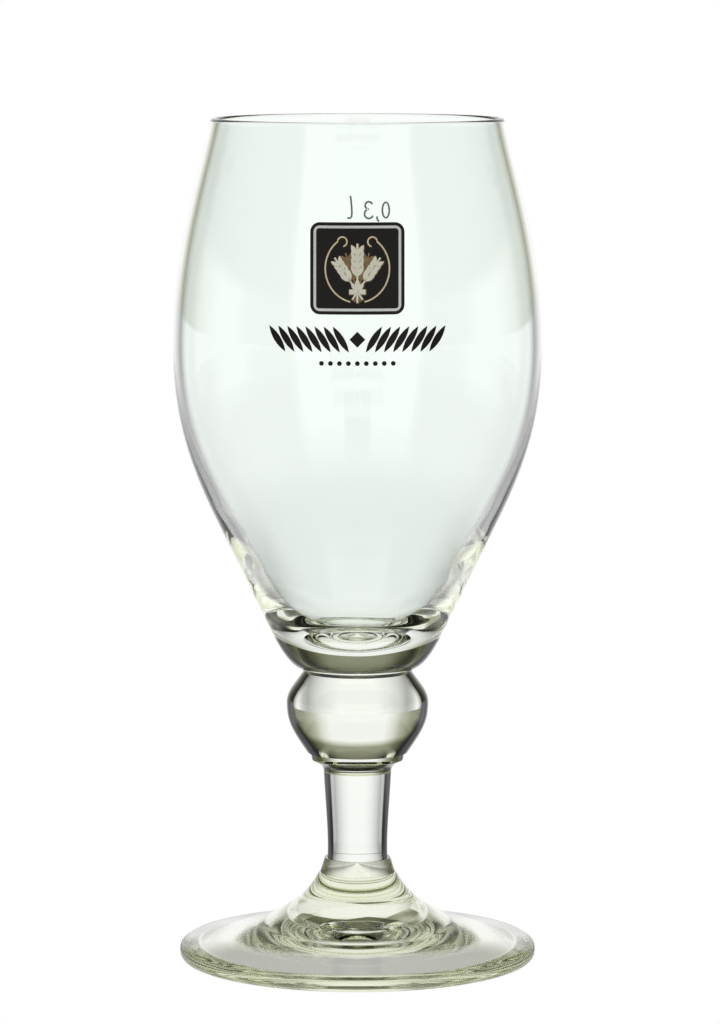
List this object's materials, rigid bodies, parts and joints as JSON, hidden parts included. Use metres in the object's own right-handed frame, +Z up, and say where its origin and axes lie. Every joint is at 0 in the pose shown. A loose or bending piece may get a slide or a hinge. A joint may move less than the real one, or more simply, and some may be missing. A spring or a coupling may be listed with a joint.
{
  "type": "chalice beer glass",
  "caption": "Stemmed glass chalice for beer: deep tulip bowl with a thick solid base, on a knopped stem and a round foot, with an enamel badge.",
  "frame": {"origin": "centre of the table face under the foot", "axes": "+Z up along the glass's axis of revolution, towards the rim; the printed badge faces -Y"},
  "size_m": [0.08, 0.0801, 0.184],
  "materials": {
    "clear_glass": "fire-polished clear soda glass with a faint green tint",
    "dark_enamel": "fired gloss black enamel print",
    "silver_enamel": "fired satin silver-grey enamel line",
    "cream_enamel": "fired satin cream enamel with a gold cast"
  },
  "bodies": {
    "root": {"foot": "clear_glass", "foot_collar": "clear_glass", "stem": "clear_glass", "stem_collar": "clear_glass", "knop": "clear_glass", "bowl": "clear_glass", "badge_ground": "dark_enamel", "badge_border": "silver_enamel", "badge_sheaf": "cream_enamel", "grain_band": "dark_enamel", "dot_row": "dark_enamel"}
  },
  "joints": []
}
